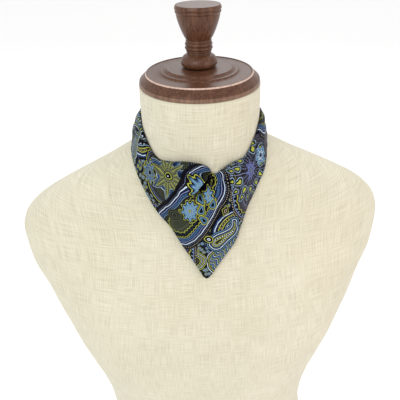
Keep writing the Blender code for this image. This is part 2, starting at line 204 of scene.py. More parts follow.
# How finely the pieces are divided
FALL_LINES, STRETCH_LINES = 235, 110
ROWS_FRONT, ROWS_BEHIND = 165, 26
FORM_SEGMENTS, FORM_ROWS = 160, 220
TURNED_SEGMENTS, CORNER_CUTS = 128, 2
UNDER_BLADE_LINES, UNDER_BLADE_ROWS = 90, 60

# Shapes ---------------------------------------------------------------------------------


def smooth(rows, column, at):
    """The named column as a curve through its rows, which never overshoots them."""
    x, y = rows[next(iter(rows))], rows[column]
    at = np.clip(np.asarray(at, float), x[0], x[-1])
    step, rise = np.diff(x), np.diff(y)
    slope = rise / step
    tangent = np.concatenate([slope[:1], np.zeros(len(x) - 2), slope[-1:]])
    before, after = slope[:-1], slope[1:]
    turning = before * after > 0
    mean = before[turning] * after[turning] * 2 / (before[turning] + after[turning])
    tangent[1:-1][turning] = mean
    i = np.clip(np.searchsorted(x, at, side="right") - 1, 0, len(x) - 2)
    t = (at - x[i]) / step[i]
    return (
        y[i] * (1 + 2 * t) * (1 - t) ** 2
        + y[i + 1] * t * t * (3 - 2 * t)
        + step[i] * t * (1 - t) * (tangent[i] * (1 - t) - tangent[i + 1] * t)
    )


def ease(share):
    """0 to 1, flat at both ends."""
    share = np.clip(share, 0, 1)
    return share * share * (3 - 2 * share)


def form_radius(angle, drop):
    """How far the form's skin stands from the neck's axis, in millimetres."""
    sideways = np.abs(np.sin(np.radians(angle)))
    along = np.cos(np.radians(angle))
    power = smooth(FORM, "squareness", drop)
    depth = np.where(along > 0, smooth(FORM, "front", drop), smooth(FORM, "back", drop))
    width = smooth(FORM, "half_width", drop)
    return ((sideways / width) ** power + (np.abs(along) / depth) ** power) ** (-1 / power)


def place(angle, radius, drop):
    """Millimetres round the neck to metres in the part's frame."""
    turn = np.radians(angle)
    return np.stack(
        [radius * np.sin(turn), -radius * np.cos(turn), NECK_TOP / MM - drop], axis=-1
    ) * MM


def clear_of_form(angle, radius, drop, under=0.0):
    """The radius, pushed out where the form or a layer beneath needs the room."""
    return np.maximum(radius, form_radius(angle, drop) + INNER - NECK_RADIUS / MM + under)


def turned_top(front_radius, ridge_drop, down):
    """Radius and drop of the turned-over top edge, where down runs from -1 to 0."""
    roll = (front_radius - INNER) / 2
    around = np.clip(down / TURN_SHARE, -1, 0) * math.pi
    behind = np.clip((-down - TURN_SHARE) / (1 - TURN_SHARE), 0, 1) * LIP / MM
    radius = INNER + roll + roll * np.cos(around)
    drop = ridge_drop + roll * (1 - np.sin(-around)) + behind
    return radius, drop


def pleats(angle, down):
    """The neckband's long pleats, which open out past the seams, in millimetres."""
    turn = (angle + 180) % 360 - 180
    past = np.where(turn < 0, turn - LEFT_SEAM, RIGHT_SEAM - turn)
    share = ease((PLEAT_REACH - past) / PLEAT_FADE)
    edges = ease(down / PLEAT_EDGE) * ease((1 - down) / PLEAT_EDGE)
    a = np.radians(turn)
    wander = 0.030 * np.sin(2 * a) + 0.022 * np.sin(5 * a + 1)
    wave = np.sin((down + wander * edges) * PLEATS * math.pi)
    crease = np.exp(-((wave / CREASE_WIDTH) ** 2))
    return share * edges * (PLEAT_DEPTH * wave**2 - PLEAT_CREASE * crease)


def ripple(angle, down):
    """Slight unevenness of hand-tied cloth, in millimetres."""
    a, d = np.radians(angle), down * math.pi
    return (
        0.28 * np.sin(5 * a + 2.2 * d)
        + 0.22 * np.sin(9 * a - 3.1 * d + 1.3)
        + 0.13 * np.sin(18 * a + 5.3 * d + 0.4)
    ) * ease(down / PLEAT_EDGE)


def hang(top_angle, front_radius, ridge_drop, low_x, low_y, low_drop, puff, down):
    """Angle, radius and drop along a line of cloth from its top edge to its low edge."""
    roll = (front_radius - INNER) / 2
    top = place(top_angle, front_radius, ridge_drop + roll)
    low = np.stack([low_x, low_y, NECK_TOP / MM - low_drop], axis=-1) * MM
    x, y, z = np.moveaxis((top + (low - top) * down[..., None]) / MM, -1, 0)
    radius = np.hypot(x, y) + puff * np.sin(math.pi * down**PUFF_RISE) * ease(down / PUFF_START)
    return np.degrees(np.arctan2(x, -y)), radius, NECK_TOP / MM - z


def turn_over(angle, front_radius, ridge_drop, down, hanging):
    """Points of a piece whose cloth is turned over at the top and hangs in front."""
    behind_radius, behind_drop = turned_top(front_radius, ridge_drop, np.minimum(down, 0))
    behind = place(angle, clear_of_form(angle, behind_radius, behind_drop), behind_drop)
    return np.where((down < 0)[..., None], behind, hanging)


def fall_base(angle, down):
    """The fall before its folds, in front of the top edge, evened out below the notch."""
    from_seam = np.minimum(angle - LEFT_SEAM, RIGHT_SEAM - angle)
    spread = EVENED * ease(down / EVENED_BY) * ease((1 - down) / EVENED_BY)
    spread = spread * ease(from_seam / (2 * EVENED_NEAR))
    names = list(FALL)[1:]
    near = [smooth(FALL, name, angle) for name in names]
    wide = [smooth(FALL, name, angle - spread) + smooth(FALL, name, angle + spread) for name in names]
    return hang(angle, *((2 * a + b) / 4 for a, b in zip(near, wide)), down)


def fold_relief(points):
    """How far the folds move each point of the fall outwards and sideways, in millimetres."""
    outwards, sideways = np.zeros(points.shape[:-1]), np.zeros(points.shape[:-1])
    along = np.linspace(0, 1, PATH_STEPS)
    ways = (1 - along) ** 2, 2 * along * (1 - along), along**2
    for i in range(len(FOLDS["depth"])):
        fold = {name: values[i] for name, values in FOLDS.items()}
        angle, down = (
            ways[0] * fold["start_" + name] + ways[1] * fold["bend_" + name] + ways[2] * fold["end_" + name]
            for name in ("angle", "down")
        )
        path = place(*fall_base(angle, down))
        near = np.linalg.norm(points - path.mean(axis=0), axis=-1) < FOLD_NEAR
        away = np.linalg.norm(points[near][:, None, :] - path, axis=-1) / MM
        t = along[away.argmin(axis=-1)]
        strength = ease(t / fold["rise"]) * ease((1 - t) / fold["fall"])
        bump = strength * ease(1 - away.min(axis=-1) / (2 * fold["half_width"]))
        outwards[near] += fold["depth"] * bump
        sideways[near] += fold["lean"] * bump
    return outwards, sideways


def fall_points(angle, down):
    """Points of the fall's middle surface. Down runs from -1, behind, past 0, the top, to 1."""
    front = np.maximum(down, 0)
    at_angle, radius, drop = fall_base(angle, front)
    outwards, sideways = fold_relief(place(at_angle, radius, drop))
    below_turn = ease(front / FOLD_TOP)
    at_angle = at_angle + np.degrees(sideways * below_turn / radius)
    radius = radius + outwards * below_turn + pleats(angle, front) + ripple(angle, front)
    room = LAYER / MM * (ROOM_ABOVE + (1 - ROOM_ABOVE) * ease((front - ROOM_FROM) / ROOM_RISE))
    hanging = place(at_angle, clear_of_form(at_angle, radius, drop, room), drop)
    edge = smooth(FALL, "front_radius", angle), smooth(FALL, "ridge_drop", angle)
    return turn_over(angle, *edge, down, hanging)


def under_blade_points(angle, down):
    """Points of the under blade, which lies on the form behind the fall."""
    at_angle, _, drop = fall_base(angle, down)
    return place(at_angle, clear_of_form(at_angle, np.zeros_like(drop), drop), drop)


def band_base(angle, down):
    """The neckband before its pleats, in front of the top edge."""
    low_turn = np.radians(smooth(BAND, "low_angle", angle))
    low_radius = smooth(BAND, "low_radius", angle)
    low = low_radius * np.sin(low_turn), -low_radius * np.cos(low_turn), smooth(BAND, "low_drop", angle)
    edge = smooth(BAND, "front_radius", angle), smooth(BAND, "ridge_drop", angle)
    at_angle, radius, drop = hang(angle, *edge, *low, smooth(BAND, "puff", angle), down)
    return at_angle, radius, drop


def band_points(angle, down):
    """Points of the neckband's middle surface, with down as in fall_points."""
    front = np.maximum(down, 0)
    at_angle, radius, drop = band_base(angle, front)
    radius = radius + pleats(angle, front) + ripple(angle, front)
    hanging = place(at_angle, clear_of_form(at_angle, radius, drop), drop)
    edge = smooth(BAND, "front_radius", angle), smooth(BAND, "ridge_drop", angle)
    return turn_over(angle, *edge, down, hanging)


def down_rows():
    """Rows from behind the top edge to the low edge."""
    behind = -np.linspace(1, 0, ROWS_BEHIND, endpoint=False)
    return np.concatenate([behind, np.linspace(0, 1, ROWS_FRONT)])


def print_place(base_of, rows, angle, down):
    """Where each point of the cloth lies on the flat printed silk, in metres across and down."""
    at_angle, radius, drop = base_of(angle, np.maximum(down, 0))
    at_angle = angle + (at_angle - angle + 180) % 360 - 180
    roll = (smooth(rows, "front_radius", angle) - INNER) / 2
    over = np.clip(-down / TURN_SHARE, 0, 1) * math.pi * roll
    behind = np.clip((-down - TURN_SHARE) / (1 - TURN_SHARE), 0, 1) * LIP / MM
    drop = drop - over - behind
    return np.stack([radius * np.radians(at_angle), drop * DROP_STRETCH], axis=-1) * MM


# Blender objects ------------------------------------------------------------------------


def add_object(name, vertices, faces, finish, node, uv=None):
    """A shaded mesh with the given finish, which stands for the CAD nodes it hides."""
    mesh = bpy.data.meshes.new(name)
    mesh.from_pydata(np.asarray(vertices).reshape(-1, 3).tolist(), [], faces)
    mesh.materials.append(finish)
    mesh.shade_smooth()
    if uv is not None:
        layer = mesh.uv_layers.new(name="Print")
        corners = np.empty(len(mesh.loops), int)
        mesh.loops.foreach_get("vertex_index", corners)
        layer.uv.foreach_set("vector", uv.reshape(-1, 2)[corners].astype(np.float32).ravel())
    made = bpy.data.objects.new(name, mesh)
    bpy.context.scene.collection.objects.link(made)
    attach(made, "root")
    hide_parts(*node)
    return made


def grid_faces(rows, columns, round_trip=False):
    last = columns if round_trip else columns - 1
    return [
        (
            r * columns + c,
            r * columns + (c + 1) % columns,
            (r + 1) * columns + (c + 1) % columns,
            (r + 1) * columns + c,
        )
        for r in range(rows - 1)
        for c in range(last)
    ]


def cloth_piece(name, points_of, print_of, angles, rows, finish, nodes):
    """A wall of cloth over a grid of angles and rows."""
    angle, down = np.meshgrid(angles, rows)
    points, uv = points_of(angle, down), print_of(angle, down)
    made = add_object(name, points, grid_faces(*angle.shape), finish, nodes, uv)
    wall = made.modifiers.new("Wall", "SOLIDIFY")
    wall.thickness = CLOTH
    wall.offset = 0
    return made


def build_form(finish):
    """The form, smooth and whole, with its cover's seam at the back."""
    drops = np.linspace(0, FORM["drop"][-1], FORM_ROWS)
    columns = FORM_SEGMENTS + 1
    angle, drop = np.meshgrid(np.linspace(180, 540, columns), drops[::-1])
    radius = form_radius(angle, drop)
    girth = radius.mean(axis=1, keepdims=True)
    along = np.hypot(np.diff(girth, axis=0), np.diff(drop[:, :1], axis=0))
    down = np.concatenate([np.cumsum(along[::-1])[::-1], [0]])[:, None]
    uv = np.stack([np.radians(angle - 360) * girth, down + 0 * angle], axis=-1) * MM
    faces = grid_faces(FORM_ROWS, columns)
    faces.append(tuple(reversed(range(FORM_SEGMENTS))))
    faces.append(tuple((FORM_ROWS - 1) * columns + i for i in range(FORM_SEGMENTS)))
    return add_object("linen_form", place(angle, radius, drop), faces, finish, ["form_body"], uv)


def build_turned(name, profile, finish, node):
    """A turned piece on the neck's axis, its corners rounded by cutting them over and over."""
    line = np.stack([profile["radius"], profile["height"]], axis=-1)
    for _ in range(CORNER_CUTS):
        cut = np.stack([line[:-1] * 0.75 + line[1:] * 0.25, line[:-1] * 0.25 + line[1:] * 0.75], axis=1)
        line = np.concatenate([line[:1], cut.reshape(-1, 2), line[-1:]])
    turn = np.arange(TURNED_SEGMENTS) * 2 * math.pi / TURNED_SEGMENTS
    radius, height = line[1:-1, :1], line[1:-1, 1:]
    level = height + NECK_TOP / MM + 0 * turn
    rings = np.stack([radius * np.cos(turn), radius * np.sin(turn), level], axis=-1)
    ends = np.array([[0, 0, line[0, 1] + NECK_TOP / MM], [0, 0, line[-1, 1] + NECK_TOP / MM]])
    points = np.concatenate([rings.reshape(-1, 3), ends]) * MM
    faces = grid_faces(len(line) - 2, TURNED_SEGMENTS, round_trip=True)
    first, last = len(points) - 2, len(points) - 1
    top = (len(line) - 3) * TURNED_SEGMENTS
    for i in range(TURNED_SEGMENTS):
        after = (i + 1) % TURNED_SEGMENTS
        faces += [(first, after, i), (last, top + i, top + after)]
    return add_object(name, points, faces, finish, [node])


# Materials ------------------------------------------------------------------------------


class Field:
    """A number that varies over a surface. Sums and functions of it are Math nodes."""

    def __init__(self, tree, socket):
        self.tree, self.socket = tree, socket

    def math(self, operation, *others):
        made = self.tree.nodes.new("ShaderNodeMath")
        made.operation = operation
        for slot, value in zip(made.inputs, (self, *others)):
            if isinstance(value, Field):
                self.tree.links.new(value.socket, slot)
            else:
                slot.default_value = value
        return Field(self.tree, made.outputs[0])

    def __add__(self, other):
        return self.math("ADD", other)

    def __sub__(self, other):
        return self.math("SUBTRACT", other)

    def __mul__(self, other):
        return self.math("MULTIPLY", other)

    def __pow__(self, other):
        return self.math("POWER", other)

    def __abs__(self):
        return self.math("ABSOLUTE")

    def __gt__(self, other):
        return self.math("GREATER_THAN", other)

    def __lt__(self, other):
        return self.math("LESS_THAN", other)

    def times_plus(self, factor, more):
        return self.math("MULTIPLY_ADD", factor, more)

    def clamped(self):
        self.socket.node.use_clamp = True
        return self

    def sine(self, period):
        """A wave of that period, from -1 to 1."""
        return self.times_plus(2 * math.pi / period, 0.0).math("SINE")

    def wrapped(self, period):
        """The distance from the nearest whole number of periods."""
        return (self + period / 2).math("FLOORED_MODULO", period) - period / 2

    def near(self, value, within):
        """1 where it is that near the value."""
        return self.math("COMPARE", value, within)

    def scallops(self, period, height):
        """A row of round humps of that height."""
        return abs(self.times_plus(math.pi / period, 0.0).math("SINE")) * height


def length(x, y):
    return x.times_plus(x, y * y).math("SQRT")


def turned(x, y, degrees):
    """The coordinates in axes turned clockwise, as seen with y down."""
    c, s = math.cos(math.radians(degrees)), math.sin(math.radians(degrees))
    return x.times_plus(c, y * s), y.times_plus(c, x * -s)


def new_material(name):
    made = bpy.data.materials.new(name)
    made.use_nodes = True
    return made, made.node_tree, made.node_tree.nodes["Principled BSDF"]


def texture(tree, kind, vector, **inputs):
    made = tree.nodes.new("ShaderNodeTex" + kind)
    tree.links.new(vector, made.inputs["Vector"])
    for name, value in inputs.items():
        made.inputs[name].default_value = value
    return made


def cloth_place(tree):
    """The place on the flat cloth, in metres, as one vector and as two numbers."""
    made = tree.nodes.new("ShaderNodeUVMap")
    made.uv_map = "Print"
    return made.outputs["UV"], *separated(tree, made.outputs["UV"])[:2]


def separated(tree, vector):
    """A vector's three numbers."""
    made = tree.nodes.new("ShaderNodeSeparateXYZ")
    tree.links.new(vector, made.inputs[0])
    return [Field(tree, made.outputs[i]) for i in range(3)]


def stretched(tree, vector, scale):
    made = tree.nodes.new("ShaderNodeMapping")
    made.inputs["Scale"].default_value = scale
    tree.links.new(vector, made.inputs["Vector"])
    return made.outputs["Vector"]


def ramp(tree, factor, rows, smooth_steps=True):
    """Colours at those positions, which blend or meet sharply."""
    made = tree.nodes.new("ShaderNodeValToRGB")
    made.color_ramp.interpolation = "LINEAR" if smooth_steps else "CONSTANT"
    stops = made.color_ramp.elements
    while len(stops) < len(rows):
        stops.new(1.0)
    for stop, (position, color) in zip(stops, rows):
        stop.position = position
        stop.color = (*color, 1)
    tree.links.new(factor, made.inputs["Fac"])
    return made.outputs["Color"]


def blend(tree, under, over, mask, how="MIX"):
    """One colour laid over another where the mask is 1."""
    made = tree.nodes.new("ShaderNodeMix")
    made.data_type = "RGBA"
    made.blend_type = how
    for slot, value in ((0, mask), (6, under), (7, over)):
        if isinstance(value, Field):
            value = value.socket
        if isinstance(value, bpy.types.NodeSocket):
            tree.links.new(value, made.inputs[slot])
        elif slot:
            made.inputs[slot].default_value = (*value, 1)
        else:
            made.inputs[slot].default_value = value
    return made.outputs[2]


def bump(tree, height, depth):
    made = tree.nodes.new("ShaderNodeBump")
    made.inputs["Distance"].default_value = depth
    tree.links.new(height, made.inputs["Height"])
    return made.outputs["Normal"]


# The print ------------------------------------------------------------------------------

INK = (0.002, 0.002, 0.005)
NAVY = (0.005, 0.009, 0.034)
BLUE = (0.021, 0.054, 0.135)
SKY = (0.080, 0.180, 0.295)
MIST = (0.215, 0.325, 0.430)
VIOLET = (0.050, 0.052, 0.230)
LILAC = (0.195, 0.240, 0.400)
PEARL = (0.520, 0.620, 0.720)
LIME = (0.350, 0.375, 0.060)
KHAKI = (0.100, 0.115, 0.065)
OLIVE = (0.016, 0.019, 0.013)
TAUPE = (0.030, 0.026, 0.032)
BEIGE = (0.330, 0.295, 0.205)

REPEAT_WIDTH, REPEAT_HEIGHT = 118.0, 186.0     # of the print, with a half drop
HAND_DRAWN = 1.15         # how far its lines wander, in millimetres
WANDER_SIZE = 9.0
CELL = 4.9                # size of the small filling between the large motifs


class Print:
    """Colours laid one over another on the flat silk, with across and down in millimetres."""

    def __init__(self, tree, uv):
        self.tree = tree
        self.across, self.down = self.split(uv, 1 / MM)
        wander = texture(tree, "Noise", self.flat(), Scale=1 / WANDER_SIZE, Detail=1.0)
        drift = self.split(wander.outputs["Color"], HAND_DRAWN * 2)
        self.across, self.down = self.across + drift[0] - HAND_DRAWN, self.down + drift[1] - HAND_DRAWN
        self.color = INK

    def split(self, vector, scale):
        return [part * scale for part in separated(self.tree, vector)[:2]]

    def flat(self):
        made = self.tree.nodes.new("ShaderNodeCombineXYZ")
        self.tree.links.new(self.across.socket, made.inputs[0])
        self.tree.links.new(self.down.socket, made.inputs[1])
        return made.outputs[0]

    def lay(self, color, mask):
        self.color = blend(self.tree, self.color, color, mask)

    def about(self, across, down, turn=0.0):
        """Coordinates about the nearest repeat of a motif at that place, turned."""
        column = ((self.across - across) * (1 / REPEAT_WIDTH) + 0.5).math("FLOOR")
        x = (self.across - across) - column * REPEAT_WIDTH
        y = (self.down - down - column * (REPEAT_HEIGHT / 2)).wrapped(REPEAT_HEIGHT)
        return turned(x, y, turn)

    def rings(self, depth, rows):
        """Sharp bands of colour by depth inside an outline. Rows are (depth, colour)."""
        low, high = rows[0][0], rows[-1][0]
        share = depth.times_plus(1 / (high - low), -low / (high - low))
        stops = [((at - low) / (high - low), color) for at, color in rows]
        self.lay(ramp(self.tree, share.socket, stops, smooth_steps=False), depth > low)


def drop_shape(x, y, bulb, tip, height, bend=0.0, hook=0.0):
    """Depth inside a bent drop, whose tip points up, and the way round its outline."""
    rise = (y * (-1 / height)).clamped()
    x = x - (rise * rise) * bend - rise**5 * hook
    lean = (bulb - tip) / height
    slope = lean / math.sqrt(1 - lean * lean)
    across = abs(x)
    t = (y * (-1 / height) - across * (slope / height)).clamped()
    below = y + t * height
    depth = t * (tip - bulb) + bulb - length(across, below)
    way = across.math("ARCTAN2", below) * bulb + t * height
    return depth, way


def dots(depth, way, at, period, radius):
    """A chain of dots at that depth inside an outline."""
    return length(depth - at, way.wrapped(period)) < radius


def seeds(depth, way, pitch, radius):
    """Rows of small dots that fill a shape."""
    return length(depth.wrapped(pitch), way.wrapped(pitch)) < radius


def squiggle(depth, way, at, period, height, width):
    """A scalloped line that follows an outline."""
    return (depth - way.scallops(period, height)).near(at, width / 2)


def flower(p, x, y, petals, radius, rows, pinch=0.38, sharp=0.0, turn=0.0):
    """A flower in bands of colour from its rim inwards, its petals round or sharp."""
    out = length(x, y)
    angle = y.math("ARCTAN2", x) + turn
    half = angle * (petals / 2)
    if sharp:
        lobes = abs(half.math("SINE")).math("POWER", sharp) * -1 + 1.0
    else:
        lobes = abs(half.math("COSINE")).math("POWER", 0.6)
    frill = abs((angle * (petals * 1.5)).math("SINE")) * (radius * 0.07)
    depth = lobes.times_plus(radius * pinch, frill) + radius * (1 - pinch) - out
    p.rings(depth, rows)
    return depth, out, angle


def veins(p, depth, out, angle, count, width, color, start=2.0):
    """Thin lines that run from a flower's middle to its petals."""
    line = (angle.wrapped(2 * math.pi / count) * out).near(0.0, width / 2)
    p.lay(color, line * (depth > 0.8) * (out > start))


def silk_print(tree, uv):
    """A dense traditional paisley: large botehs, flowers and a curled leaf on a small filling."""
    p = Print(tree, uv)
    paint_ground(p)
    paint_stripes(p)
    paint_waves(p)
    paint_low_boteh(p)
    paint_right_boteh(p)
    paint_star(p)
    paint_leaf(p)
    paint_great_boteh(p)
    return p.color


def paint_ground(p):
    """Small rings and knots that fill the silk between the large motifs."""
    cells = texture(p.tree, "Voronoi", p.flat(), Scale=1 / CELL, Randomness=0.85)
    cells.voronoi_dimensions = "2D"
    away = Field(p.tree, cells.outputs["Distance"]) * CELL
    shade = Field(p.tree, cells.outputs["Color"])
    p.lay(OLIVE, seeds(p.across, p.down, 1.9, 0.5))
    p.lay(blend(p.tree, BLUE, KHAKI, shade > 0.5), away < 2.2)
    p.lay(INK, away < 1.6)
    p.lay(MIST, away.near(1.15, 0.24) * (shade > 0.42))
    p.lay(LIME, away.near(1.15, 0.24) * (shade < 0.36))
    p.lay(blend(p.tree, BEIGE, MIST, shade > 0.55), away < 0.5)


def paint_stripes(p):
    """Bands across the side of the neck, below a dark field of small loops."""
    x, y = p.about(-80.0, 37.0)
    depth = length(x * 0.8, y) * -1 + 28.0
    p.rings(
        depth,
        [
            (-2.4, INK), (0.0, BLUE), (1.4, PEARL), (2.1, NAVY), (4.0, LIME), (4.7, INK),
            (6.6, LIME), (7.3, INK), (8.8, MIST), (9.4, INK), (10.0, INK),
        ],
    )
    p.lay(BEIGE, dots(depth, x, 5.7, 1.9, 0.45))
    loop_y = y.wrapped(6.6)
    loops = length(x.wrapped(6.0), loop_y * 0.8)
    p.lay(PEARL, loops.near(2.1, 0.22) * (depth > 9.8) * (loop_y < 0.5))
    p.lay(KHAKI, loops.near(1.1, 0.20) * (depth > 9.8))
    p.lay(SKY, (loops < 0.45) * (depth > 9.8))


def paint_waves(p):
    """Blue waves in the low corner of the blade."""
    x, y = p.about(13.0, 161.0, 38.0)
    depth, way = drop_shape(x, y, 17.0, 8.0, 26.0, -4.0)
    p.rings(depth, [(-1.4, INK), (-0.5, PEARL), (0.2, NAVY), (1.6, LIME), (2.3, INK), (3.4, INK)])
    crest = (y + x.sine(9.0) * 2.0).wrapped(5.6)
    inside = depth > 3.0
    for level, half, color in (
        (0.0, 2.8, INK), (0.5, 1.0, BLUE), (0.9, 0.4, SKY), (-1.5, 0.26, PEARL), (2.2, 0.25, LIME),
    ):
        p.lay(color, crest.near(level, half) * inside)


def paint_low_boteh(p):
    """A small boteh of fine lines below the great one."""
    x, y = p.about(-16.0, 160.0, -48.0)
    depth, way = drop_shape(x, y, 9.0, 4.0, 18.0, 5.0, -5.0)
    p.rings(
        depth,
        [
            (-3.2, INK), (-2.5, LIME), (-1.9, INK), (-0.9, PEARL), (-0.4, INK), (0.6, LIME),
            (1.2, INK), (3.4, LIME), (4.0, INK), (9.0, INK),
        ],
    )
    p.lay(PEARL, dots(depth, way, 2.3, 2.2, 0.5))
    p.lay(KHAKI, dots(depth, way, 5.8, 2.0, 0.6))


def paint_right_boteh(p):
    """A taupe boteh with a violet fan flower in a ring of drops."""
    x, y = p.about(62.0, 92.0)
    depth, way = drop_shape(x, y, 34.0, 36.0, 40.0)
    p.rings(depth, [(-6.4, INK), (-3.8, LILAC), (-3.2, NAVY), (-1.8, INK), (0.0, TAUPE), (9.0, TAUPE)])
    p.lay(BEIGE, dots(depth, way, -5.2, 1.9, 0.5))
    p.lay(MIST, dots(depth, way, -2.0, 4.2, 0.75))
    p.lay(LIME, squiggle(depth, way, -0.4, 8.2, 1.6, 0.7))
    p.lay(LILAC, seeds(depth, way, 2.3, 0.34) * (depth > 2.4))
    p.lay(LILAC, squiggle(depth, way, 5.6, 4.8, 1.5, 0.45))
    x, y = p.about(48.0, 74.0)
    out = length(x, y)
    angle = y.math("ARCTAN2", x)
    ring = (out < 24.0) * (out > 8.0)
    p.lay(INK, (out < 22.5) * (out > 8.0) * 0.6)
    p.lay(LILAC, (angle.wrapped(2 * math.pi / 22) * out).near(0.0, 0.16) * ring)
    for reach, count, bulb in ((16.4, 11, 2.3), (23.4, 17, 1.6)):
        beside = angle.wrapped(2 * math.pi / count) * out
        drop, _ = drop_shape(beside, out * -1 + reach, bulb, 0.6, 2.2 * bulb)
        p.rings(drop, [(-1.9, TAUPE), (-1.0, MIST), (-0.4, INK), (0.8, LIME), (2.4, LIME)])
    rows = [
        (-0.7, NAVY), (0.0, LILAC), (0.5, VIOLET), (2.6, LILAC), (3.1, NAVY), (4.4, MIST),
        (4.9, VIOLET), (6.4, LIME),
    ]
    bloom = flower(p, x, y, 8, 8.5, rows, 0.50, 0.8)
    veins(p, *bloom, 16, 0.4, LILAC, 3.0)
    x, y = p.about(66.0, 66.0)
    rows = [(-1.2, INK), (-0.6, MIST), (0.0, SKY), (2.4, BLUE), (3.2, MIST), (5.0, NAVY)]
    bloom = flower(p, x, y, 6, 8.0, rows)
    veins(p, *bloom, 12, 0.5, PEARL)


def paint_star(p):
    """A sage star flower with an eye, on blue leaves, beside a small aster."""
    x, y = p.about(-38.8, 71.0, 8.0)
    depth, way = drop_shape(x, y, 27.0, 16.0, 30.0)
    p.rings(
        depth,
        [
            (-5.0, INK), (-3.6, LIME), (-3.0, NAVY), (-1.4, LILAC), (-0.9, INK), (0.6, KHAKI),
            (1.2, NAVY), (3.2, OLIVE), (9.0, OLIVE),
        ],
    )
    p.lay(KHAKI, seeds(depth, way, 2.0, 0.4) * (depth > 3.4))
    leaf = [
        (-0.5, INK), (0.0, PEARL), (0.6, NAVY), (1.4, BLUE), (2.8, NAVY), (3.5, MIST),
        (4.0, NAVY), (5.2, BLUE), (8.0, NAVY),
    ]
    flower(p, x, y, 7, 25.0, leaf, 0.50, 0.9, 0.3)
    sage = [
        (-1.0, INK), (-0.4, MIST), (0.1, INK), (0.7, LIME), (1.1, INK), (1.7, KHAKI),
        (3.2, OLIVE), (4.0, KHAKI), (5.2, INK), (5.8, KHAKI),
    ]
    bloom = flower(p, x, y, 8, 20.0, sage, 0.56, 0.8)
    veins(p, *bloom, 16, 0.4, LIME, 5.0)
    eye = length(x * 0.5, y)
    for reach, color in ((2.3, INK), (1.9, LIME), (1.5, INK), (0.35, PEARL)):
        p.lay(color, eye < reach)
    aster = [
        (-1.6, INK), (-0.6, LIME), (0.0, INK), (0.8, MIST), (1.3, BLUE), (3.2, NAVY),
        (4.0, KHAKI), (5.0, INK),
    ]
    bloom = flower(p, *p.about(-64.0, 75.0), 9, 10.0, aster, 0.36, 1.2)
    veins(p, *bloom, 18, 0.45, MIST)


def paint_leaf(p):
    """A curled leaf with a chain down its middle, a diamond above it and an eye beside it."""
    x, y = p.about(7.0, 138.5, 47.0)
    depth, way = drop_shape(x, y, 7.5, 3.0, 27.0, 14.0, -17.0)
    p.rings(
        depth,
        [
            (-3.4, INK), (-2.6, SKY), (-1.6, INK), (-0.4, PEARL), (0.3, NAVY), (1.2, BLUE),
            (2.0, INK), (2.5, LIME), (3.1, INK), (5.2, LIME), (5.8, OLIVE), (8.5, OLIVE),
        ],
    )
    p.lay(PEARL, dots(depth, way, 4.2, 2.3, 0.6))
    x, y = p.about(16.5, 105.0, 20.0)
    diamond = abs(x) + abs(y) * 0.6
    for reach, color in ((4.4, INK), (3.7, LIME), (3.2, INK), (1.6, BEIGE), (1.0, INK)):
        p.lay(color, diamond < reach)
    x, y = p.about(-1.3, 134.0, 30.0)
    eye = length(x * 0.72, y)
    for reach, color in ((4.2, INK), (3.6, LIME), (2.9, INK), (1.3, PEARL), (0.6, INK)):
        p.lay(color, eye < reach)


